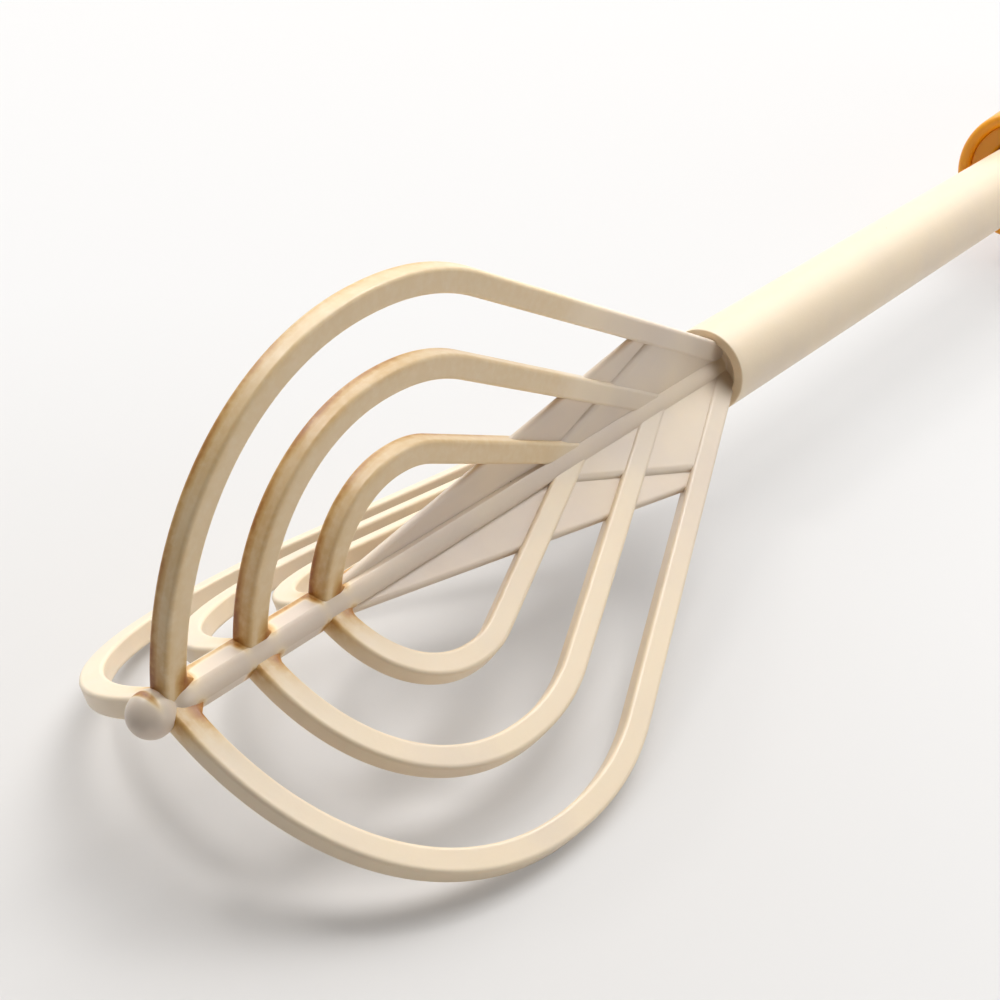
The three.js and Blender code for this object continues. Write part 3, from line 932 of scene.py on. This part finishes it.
    def _shaft_path(self) -> np.ndarray:
        """Half section of the shaft: ball, neck, straight shaft, dished hub and the plug in the tube.

        Returns:
            Rows of radius and place along the axis.
        """
        shaft = self.shaft_radius
        front = self.hub_front
        ball = arc((0, 0), BALL_RADIUS, *self.ball_arc, self.ball_rows)
        shoulder = (shaft, self.neck_shoulder)
        neck = bezier(tuple(ball[-1]), self.neck_waist, shoulder, (shaft, self.neck_end), self.neck_rows)[1:]
        coarse = np.arange(self.fine_rows[1], front, self.coarse_step)
        along = np.concatenate([np.arange(*self.fine_rows), coarse, [front + self.hub_lap]])
        straight = np.stack([np.full(along.size, shaft), along], axis=1)
        floor = front + self.hub_dish
        dish = bezier(
            (shaft, floor - self.dish_round),
            (shaft, floor),
            (shaft + self.dish_round, floor),
            (self.plug_radius, front + self.hub_inset),
            self.dish_rows,
        )
        top = AXIS.span("whisk_shaft")[1]
        chamfer = self.plug_chamfer
        plug = np.array([(self.plug_radius, top - chamfer), (self.plug_radius - chamfer, top)])
        return np.concatenate([ball, neck, straight, dish, plug])

    def _shaft(self) -> Skin:
        """The shaft: its half section turned round the axis, with a flat under each wing.

        A flat is a chord: the radius there is the shaft's times the cosine of the flat's half angle over
        the cosine of the angle from the wing's plane.

        Returns:
            The shaft's surface with stain.
        """
        path = self._shaft_path()
        half = self.flat_angle
        steps = np.linspace(0, 1, self.flat_columns)
        near = np.concatenate([-half * (1 - steps[:-1]), half * steps])
        between = np.linspace(half, TAU / 3 - half, self.round_columns)[1:-1]
        turn = np.concatenate([t + np.concatenate([near, between]) for t in self.wing_turns])[None, :]
        from_wing = (turn + TAU / 6) % (TAU / 3) - TAU / 6
        chord = np.where(np.abs(from_wing) <= half, np.cos(half) / np.cos(from_wing), 1.0)
        place = path[:, 1:2]
        lower_end = np.clip((place - self.flat_start) / self.flat_run, 0, 1)
        upper_end = np.clip((self.hub_front - place) / self.flat_run, 0, 1)
        radius = path[:, :1] * (1 - lower_end * upper_end * (1 - chord))
        points = AXIS.place(place, radius, np.zeros(1), turn)
        return Skin(points, self._shaft_stain(path, turn, from_wing), points)

    def _shaft_stain(self, path: np.ndarray, turn: np.ndarray, from_wing: np.ndarray) -> np.ndarray:
        """Stain of the shaft: bells along and round the axis at the feet, in the line and in the arch.

        Args:
            path: half section of the shaft.
            turn: angle of each column.
            from_wing: angle of each column from the nearest wing.

        Returns:
            Stain for each point of the shaft.
        """
        brown = self.shaft_stain
        radius = path[:, :1]
        place = path[:, 1:2]
        edge = self.bar_width / 2
        above, above_width = brown.above_foot
        below, below_width = brown.below_foot
        feet = np.zeros_like(place)
        for loop in self.loops:
            feet += bell(place, loop.base + edge + above, above_width)
            feet += bell(place, loop.base - edge - below, below_width)
        corners = feet * bell(np.degrees(from_wing), 0, brown.foot_width)
        on_top = np.degrees((turn + math.pi) % TAU - math.pi)
        line = brown.ripple.strength(place) * bell(on_top, *brown.line_turn) * (place > brown.line_from)
        low_end = np.clip((brown.faded_at - place) / brown.fade, 0, 1)
        on_shaft = (radius < self.shaft_radius + brown.margin) * (place > brown.ball_end)
        on_ball = bell(place, *brown.arch_along) * (radius > brown.arch_radius)
        arch = brown.arch * on_ball * bell(on_top, *brown.arch_turn)
        dish = brown.dish * (place > self.hub_front + brown.margin)
        stain = self.clean_age + np.clip(corners + line, 0, 1) * low_end * on_shaft + arch + dish
        return np.clip(stain, 0, MOST_STAIN)


@dataclass
class PushTube:
    """The cream tube between head and handle, with its stop flange inside the handle."""

    radius: float = 5.7
    bore: float = 4.3
    chamfer: float = 0.2
    wall_from: float = 1.2
    wall_rows: int = 24
    sides: int = 96
    flange_gap: float = 0.3
    flange_height: float = 2.6
    flange_radius: float = 8.4
    flange_edge: float = 0.3
    flange_root: float = 0.4
    rim: float = 0.2
    rim_gap: float = 0.3
    age: float = 0.3
    # Brown tint on the lower end face of the tube.
    rim_brown: float = 0.34
    rim_brown_height: float = 0.1

    def build(self, finish: Material) -> None:
        """Turns the tube: rounded lower rim, straight wall, flange and bore.

        Args:
            finish: cream plastic.
        """
        end = AXIS.span("push_tube")[1]
        bottom = AXIS.span("wing_1")[1] + self.rim_gap
        low = AXIS.span("guide_bush")[1] + self.flange_gap
        high = low + self.flange_height
        rim = arc((self.radius - self.rim, bottom + self.rim), self.rim, -90, 0, steps=8)
        wall_places = np.linspace(bottom + self.wall_from, low - self.flange_root, self.wall_rows)
        wall = np.stack([np.full(self.wall_rows, self.radius), wall_places], axis=1)
        root_middle = (self.radius + self.flange_root, low - self.flange_root)
        root = arc(root_middle, self.flange_root, 180, 90, steps=5)
        edge, edge_radius = self.flange_edge, self.flange_radius - self.flange_edge
        lower_edge = arc((edge_radius, low + edge), edge, -90, 0, steps=5)
        upper_edge = arc((edge_radius, high - edge), edge, 0, 90, steps=5)
        chamfer = self.chamfer
        inside = np.array(
            [
                (self.radius, high),
                (self.radius, end - chamfer),
                (self.radius - chamfer, end),
                (self.bore + chamfer, end),
                (self.bore, end - chamfer),
                (self.bore, bottom + chamfer),
                (self.bore + chamfer, bottom),
            ]
        )
        path = np.concatenate([rim, wall, root, lower_edge, upper_edge, inside])
        skin = AXIS.lathe(path, self.sides, ring=True, aged=self.age)
        # The tube is browner on its lower end face.
        skin.stain[path[:, 1] < bottom + self.rim_brown_height] = self.rim_brown
        make_piece("tube_body", [skin], finish, Body.ROTOR, ["push_tube"])


@dataclass
class Handle:
    """The orange handle: grip, palm knob and the bush in the grip's mouth."""

    radius: float = 11.2
    swell: float = 12.6
    swell_reach: float = 20.0
    grip_edge: float = 1.0
    rim_lap: float = 0.1
    bore: float = 9.1
    gap: float = 0.3
    knob_shoulder: float = 9.0
    knob_round: float = 4.5
    knob_flat_inset: float = 8.0
    neck_inset: float = 0.6
    neck_flare: float = 1.5
    pole_radius: float = 0.05
    pocket_depth: float = 6.0
    boss_radius: float = 4.7
    pocket_radius: float = 7.7
    bush_bore: float = 6.05
    bush_mouth: float = 0.6
    bush_chamfer: float = 0.15
    press_gap: float = 0.03
    sides: int = 128

    def build(self, finish: Material) -> None:
        """Makes the grip, the knob and the bush.

        Args:
            finish: orange plastic.
        """
        pieces = (
            ("handle_grip_body", "handle_grip", self._grip(), True),
            ("handle_knob_body", "palm_knob", self._knob(), False),
            ("handle_bush_body", "guide_bush", self._bush(), True),
        )
        for name, node, path, ring in pieces:
            skin = AXIS.lathe(path, self.sides, ring)
            make_piece(name, [skin], finish, Body.HANDLE, [node])

    def _grip(self) -> np.ndarray:
        """Half section of the grip: a full round lower rim, a soft swell, a rounded top and the bore.

        Returns:
            Rows of radius and place along the axis.
        """
        bottom, top = AXIS.span("handle_grip")
        rim = (self.radius - self.bore) / 2
        middle = (bottom + top) / 2
        mouth = arc((self.bore + rim, bottom + rim), rim, 180, 360, steps=24)
        below = (self.swell, middle - self.swell_reach)
        above = (self.swell, middle + self.swell_reach)
        edge = self.grip_edge
        swell = bezier(tuple(mouth[-1]), below, above, (self.radius, top - edge), steps=40)[1:]
        upper = arc((self.radius - edge, top - edge), edge, 0, 90, steps=8)[1:]
        bore = np.array([(self.bore, top), (self.bore, bottom + rim + self.rim_lap)])
        return np.concatenate([mouth, swell, upper, bore])

    def _knob(self) -> np.ndarray:
        """Half section of the knob: boss, spring pocket, skirt, and a mushroom with a flat top.

        Returns:
            Rows of radius and place along the axis.
        """
        skirt_bottom, knob_top = AXIS.span("palm_knob")
        grip_top = AXIS.span("handle_grip")[1]
        skirt = self.bore - self.gap
        pocket_top = grip_top + self.pocket_depth
        bottom = grip_top + self.gap
        widest = (AXIS.height, bottom + self.knob_shoulder)
        flat = AXIS.height - self.knob_flat_inset
        inner = np.array(
            [
                (self.pole_radius, skirt_bottom),
                (self.boss_radius, skirt_bottom),
                (self.boss_radius, pocket_top),
                (self.pocket_radius, pocket_top),
                (self.pocket_radius, skirt_bottom),
                (skirt, skirt_bottom),
                (skirt, bottom),
            ]
        )
        neck = (self.radius - self.neck_inset, bottom)
        flare = (self.radius + self.neck_flare, bottom)
        rising = bezier(neck, flare, (widest[0], widest[1] - self.knob_round), widest)
        over = (widest[0], widest[1] + self.knob_round)
        crown = bezier(widest, over, (flat + self.knob_round, knob_top), (flat, knob_top))
        top = np.array([(flat / 2, knob_top), (self.pole_radius, knob_top)])
        return np.concatenate([inner, rising, crown[1:], top])

    def _bush(self) -> np.ndarray:
        """Half section of the bush: a bore with a rounded mouth and a wall that fills the grip's bore.

        Returns:
            Rows of radius and place along the axis.
        """
        bottom, top = AXIS.span("guide_bush")
        bore = self.bush_bore
        outer = self.bore - self.press_gap
        mouth = arc((bore + self.bush_mouth, bottom + self.bush_mouth), self.bush_mouth, 180, 270, steps=6)
        chamfer = self.bush_chamfer
        wall = np.array([(outer - chamfer, bottom), (outer, bottom + chamfer), (outer, top), (bore, top)])
        return np.concatenate([mouth, wall])


@dataclass
class DriveTrain:
    """The drive inside the handle: twisted spindle, nut, washer, seat, pins and return spring.

    The spring's first and last turns are closed, and rise by a number of wire radii.
    """

    spring_radius: float = 6.2
    wire_radius: float = 0.45
    wire_sides: int = 10
    turns: float = 15.0
    turn_rows: int = 48
    closed_turns: float = 0.8
    closed_rise: float = 2.1
    stroke: float = 50.0
    strip_width: float = 4.0
    strip_thickness: float = 1.4
    strip_corner: float = 0.25
    strip_rows: int = 260
    pitch: float = 40.0

    def build(self, steel: Material, nylon: Material) -> None:
        """Makes the spring and the spindle, and dresses the small turned pieces.

        Args:
            steel: finish of the metal pieces.
            nylon: finish of the nut and washer.
        """
        coil = [self._spring()]
        spring = make_piece("spring_coil", coil, steel, Body.HANDLE, ["return_spring"])
        low, high = AXIS.span("return_spring")
        anchor = AXIS.on_axis(high)
        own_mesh(spring)
        strip = [self._spindle()]
        make_piece("spindle_strip", strip, steel, Body.HANDLE, ["drive_spindle"])
        for name in ("spindle_pin", "spring_seat", "nut_pin_1", "nut_pin_2"):
            dress_node(name, steel)
        for name in ("drive_nut", "thrust_washer"):
            dress_node(name, nylon)

    def _spring(self) -> Skin:
        """The spring: a circle carried along a helix whose pitch closes up in the first and last turn.

        Returns:
            The wire's surface.
        """
        low, high = AXIS.span("return_spring")
        first = low + self.wire_radius
        last = high - self.wire_radius
        turns = np.linspace(0, self.turns, int(self.turn_rows * self.turns))[:, None]
        closed = self.closed_turns
        rise = self.closed_rise * self.wire_radius
        lower_end = rise * np.clip(turns, 0, closed) / closed
        upper_end = rise * np.clip(turns - self.turns + closed, 0, closed) / closed
        share = np.clip((turns - closed) / (self.turns - 2 * closed), 0, 1)
        along = first + lower_end + share * (last - first - 2 * rise) + upper_end
        around = np.linspace(0, TAU, self.wire_sides, endpoint=False)[None, :]
        out = self.spring_radius + self.wire_radius * np.cos(around)
        wire = along + self.wire_radius * np.sin(around)
        points = AXIS.place(wire, out, np.zeros(1), math.pi / 2 - TAU * turns)
        return Skin(points, np.zeros(points.shape[:2]), points)

    def _spindle(self) -> Skin:
        """The spindle: a flat rounded section carried up the axis, with one turn per pitch below the knob.

        Returns:
            The strip's surface.
        """
        along = np.linspace(*AXIS.span("drive_spindle"), self.strip_rows)[:, None]
        straight_from = AXIS.span("palm_knob")[0]
        turn = math.pi / 2 + TAU * np.minimum(0, along - straight_from) / self.pitch
        section = bar_section(self.strip_thickness, self.strip_width, self.strip_corner)[0]
        points = AXIS.place(along, section[None, :, 0], section[None, :, 1], turn)
        return Skin(points, np.zeros(points.shape[:2]), points)


@dataclass(frozen=True)
class Lamp:
    """A square soft lamp: where it hangs and its side in metres, and its power in watts."""

    name: str
    place: Point
    side: float
    power: float


@dataclass
class Studio:
    """Pale table, soft light from all round and above, and the camera. Sizes are metres.

    The table carries painted light, a share of white that the camera sees and that lightens the whisk's
    shadows: small at the whisk's tip, growing to its full share at a reach from it. It turns white from
    `white_from` to `white_at`. `lamp_level` turns the lamps about their aim.
    """

    floor_colour: str = "#D2CFCC"
    floor_roughness: float = 0.75
    floor_half: float = 6.0
    # Painted light on the table: shares of white, seen by the camera, that lighten the whisk's shadows, at
    # its tip and at a reach from it.
    painted_light_at_tip: float = 0.06
    painted_light: float = 0.55
    painted_light_reach: float = 0.13
    white_from: float = 0.28
    white_at: float = 0.75
    ambient: float = 0.01
    lamps: tuple[Lamp, ...] = (
        Lamp("ceiling_lamp", (0.35, 0.0, 0.9), 0.6, 6.5),
        Lamp("rear_window", (0.75, 0.0, 0.9), 1.0, 3.6),
        Lamp("left_window", (0.2, 0.75, 0.9), 1.0, 8.2),
        Lamp("skylight", (-0.2, 0.5, 0.85), 0.2, 2.0),
        Lamp("right_wall", (0.2, -1.1, 0.4), 0.7, 3.0),
    )
    lamp_target: Point = (-0.1, 0.0, 0.02)
    lamp_level: Point = (0.0, 1.0, 0.2)
    camera_from_ball: Point = (-0.07608, -0.09335, 0.09591)
    camera_ahead: Point = (0.68904, 0.50470, -0.52010)
    camera_right: Point = (0.61556, -0.78634, 0.05245)
    nearest_seen: float = 0.01
    focal_pixels: float = 1650.0
    picture_pixels: float = 1000.0
    sensor_millimetres: float = 36.0

    def build(self) -> None:
        """Sets up the floor, the world, the lamps and the camera."""
        self._floor()
        self._world()
        for lamp in self.lamps:
            self._lamp(lamp)
        self._camera()

    def _floor(self) -> None:
        """A large matt table top with painted light that grows away from the whisk's tip and lightens its
        shadows, white far from the whisk.
        """
        half = self.floor_half
        corners = [(-half, -half, 0), (half, -half, 0), (half, half, 0), (-half, half, 0)]
        mesh = bpy.data.meshes.new("table")
        mesh.from_pydata(corners, [], [(0, 1, 2, 3)])
        table = bpy.data.objects.new("table", mesh)
        bpy.context.scene.collection.objects.link(table)
        # White card: matt, so that no lamp shows in it, carrying painted light that lightens the whisk's
        # shadows.
        material, tree = fresh_material("table_with_painted_light")
        place = add_node(tree, "ShaderNodeTexCoord").outputs["Object"]
        # Painted light: a share of white, seen by the camera, grows away from the whisk's tip and lightens
        # the whisk's shadows on the table.
        under_tip = {"operation": "DISTANCE", 1: tuple(AXIS.on_axis(0.0) * (1, 1, 0))}
        away = add_node(tree, "ShaderNodeVectorMath", under_tip, {0: place}).outputs["Value"]
        pale = {"From Max": self.painted_light_reach, "To Min": self.painted_light_at_tip, "To Max": self.painted_light}
        near = add_node(tree, "ShaderNodeMapRange", pale, {"Value": away}).outputs[0]
        far = add_node(tree, "ShaderNodeVectorMath", {"operation": "LENGTH"}, {0: place}).outputs["Value"]
        fade = {"From Min": self.white_from, "From Max": self.white_at}
        white_out = add_node(tree, "ShaderNodeMapRange", fade, {"Value": far}).outputs[0]
        both = {0: near, 1: white_out}
        painted_light_and_white = add_node(tree, "ShaderNodeMath", {"operation": "MAXIMUM"}, both).outputs[0]
        both = {0: painted_light_and_white, 1: self._seen(tree)}
        share = add_node(tree, "ShaderNodeMath", {"operation": "MULTIPLY"}, both).outputs[0]
        matt = {"Base Color": linear(self.floor_colour), "Roughness": self.floor_roughness}
        card = add_node(tree, "ShaderNodeBsdfPrincipled", matt).outputs[0]
        white = add_node(tree, "ShaderNodeEmission", {"Strength": WHITE}).outputs[0]
        mixed = add_node(tree, "ShaderNodeMixShader", links={0: share, 1: card, 2: white}).outputs[0]
        add_node(tree, "ShaderNodeOutputMaterial", links={"Surface": mixed})
        mesh.materials.append(material)

    def _world(self) -> None:
        """White to the camera and in reflections, a faint even light on everything else."""
        world = bpy.data.worlds.new("studio")
        bpy.context.scene.world = world
        world.use_nodes = True
        tree = world.node_tree
        tree.nodes.clear()
        levels = {"To Min": self.ambient, "To Max": WHITE}
        level = add_node(tree, "ShaderNodeMapRange", levels, {"Value": self._seen(tree)}).outputs[0]
        light = add_node(tree, "ShaderNodeBackground", {"Color": (1, 1, 1, 1)}, {"Strength": level})
        add_node(tree, "ShaderNodeOutputWorld", links={"Surface": light.outputs[0]})

    @staticmethod
    def _seen(tree: Tree) -> Socket:
        """Tells the rays that show the backdrop from the rays that light the whisk.

        Args:
            tree: node tree.

        Returns:
            1 for what the camera sees, straight on, in a reflection or through a piece, else 0.
        """
        paths = add_node(tree, "ShaderNodeLightPath").outputs
        rays = {0: paths["Is Camera Ray"], 1: paths["Is Glossy Ray"]}
        seen = add_node(tree, "ShaderNodeMath", {"operation": "MAXIMUM"}, rays).outputs[0]
        rays = {0: seen, 1: paths["Is Transmission Ray"]}
        return add_node(tree, "ShaderNodeMath", {"operation": "MAXIMUM"}, rays).outputs[0]

    def _lamp(self, lamp: Lamp) -> None:
        """Hangs a lamp so that it looks at the whisk's head.

        Args:
            lamp: the lamp.
        """
        light = bpy.data.lights.new(lamp.name, "AREA")
        light.size = lamp.side
        light.energy = lamp.power
        hung = bpy.data.objects.new(lamp.name, light)
        bpy.context.scene.collection.objects.link(hung)
        ahead = np.array(self.lamp_target) - np.array(lamp.place)
        self._aim(hung, lamp.place, ahead, np.cross(ahead, self.lamp_level))

    def _camera(self) -> None:
        """The camera at the photograph's place, with its angle of view."""
        lens = bpy.data.cameras.new("camera")
        lens.sensor_width = self.sensor_millimetres
        lens.lens = self.sensor_millimetres * self.focal_pixels / self.picture_pixels
        lens.clip_start = self.nearest_seen
        camera = bpy.data.objects.new("camera", lens)
        bpy.context.scene.collection.objects.link(camera)
        place = AXIS.on_axis(0.0) + self.camera_from_ball
        self._aim(camera, place, np.array(self.camera_ahead), np.array(self.camera_right))
        bpy.context.scene.camera = camera
        bpy.context.scene.view_settings.view_transform = "Standard"

    @staticmethod
    def _aim(thing: bpy.types.Object, place: Point, ahead: np.ndarray, right: np.ndarray) -> None:
        """Places a lamp or camera so that it looks ahead.

        Args:
            thing: the object.
            place: where it stands.
            ahead: direction that it looks in.
            right: direction of its right hand.
        """
        ahead = ahead / np.linalg.norm(ahead)
        right = right - ahead * float(right @ ahead)
        right /= np.linalg.norm(right)
        matrix = np.eye(4)
        matrix[:3, :3] = np.stack([right, np.cross(right, ahead), -ahead], axis=1)
        matrix[:3, 3] = place
        thing.matrix_world = Matrix(matrix.tolist())


def main() -> None:
    """Builds the whisk's sub-assemblies in order, then the studio."""
    logging.basicConfig(level=logging.INFO, format="%(message)s")
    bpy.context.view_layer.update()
    cream = CREAM.material()
    orange = ORANGE.material()
    nylon = NYLON.material()
    steel = DrawnSteel().material()
    WhiskHead().build(cream)
    PushTube().build(cream)
    Handle().build(orange)
    DriveTrain().build(steel, nylon)
    Studio().build()


if __name__ == "__main__":
    main()
